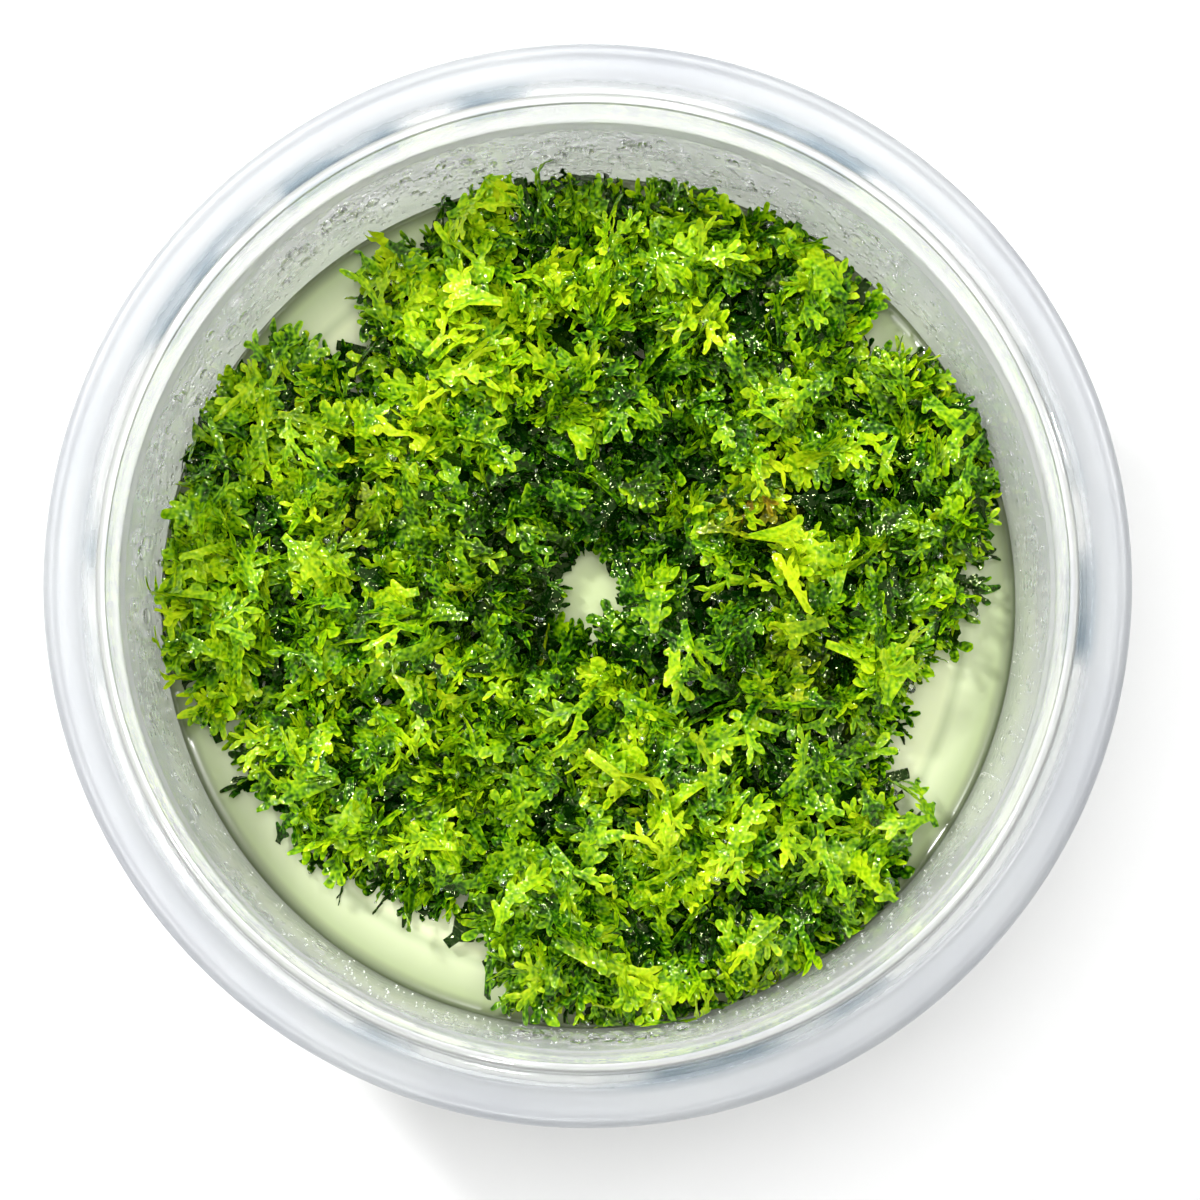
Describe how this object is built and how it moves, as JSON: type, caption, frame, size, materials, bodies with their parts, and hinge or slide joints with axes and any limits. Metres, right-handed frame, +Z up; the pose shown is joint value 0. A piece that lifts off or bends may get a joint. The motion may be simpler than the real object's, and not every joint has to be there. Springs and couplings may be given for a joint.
{
  "type": "moss clump",
  "caption": "Clump of branching coral moss grown as tufts on pale gel in a shallow round clear culture cup.",
  "frame": {"origin": "middle of the cup's flat base, on the surface it stands on", "axes": "+Z up along the cup's axis, +Y towards the side of the clump that was uppermost, +X to the right of it"},
  "size_m": [0.1, 0.1, 0.044],
  "materials": {
    "cup_plastic": "satin",
    "gel": "gloss",
    "moss": "satin"
  },
  "bodies": {
    "root": {"culture_cup": "cup_plastic", "nutrient_gel": "gel", "tuft_left": "moss", "tuft_upper_left": "moss", "tuft_upper_right": "moss", "tuft_right": "moss", "tuft_bottom": "moss", "tuft_lower_left": "moss"}
  },
  "joints": []
}
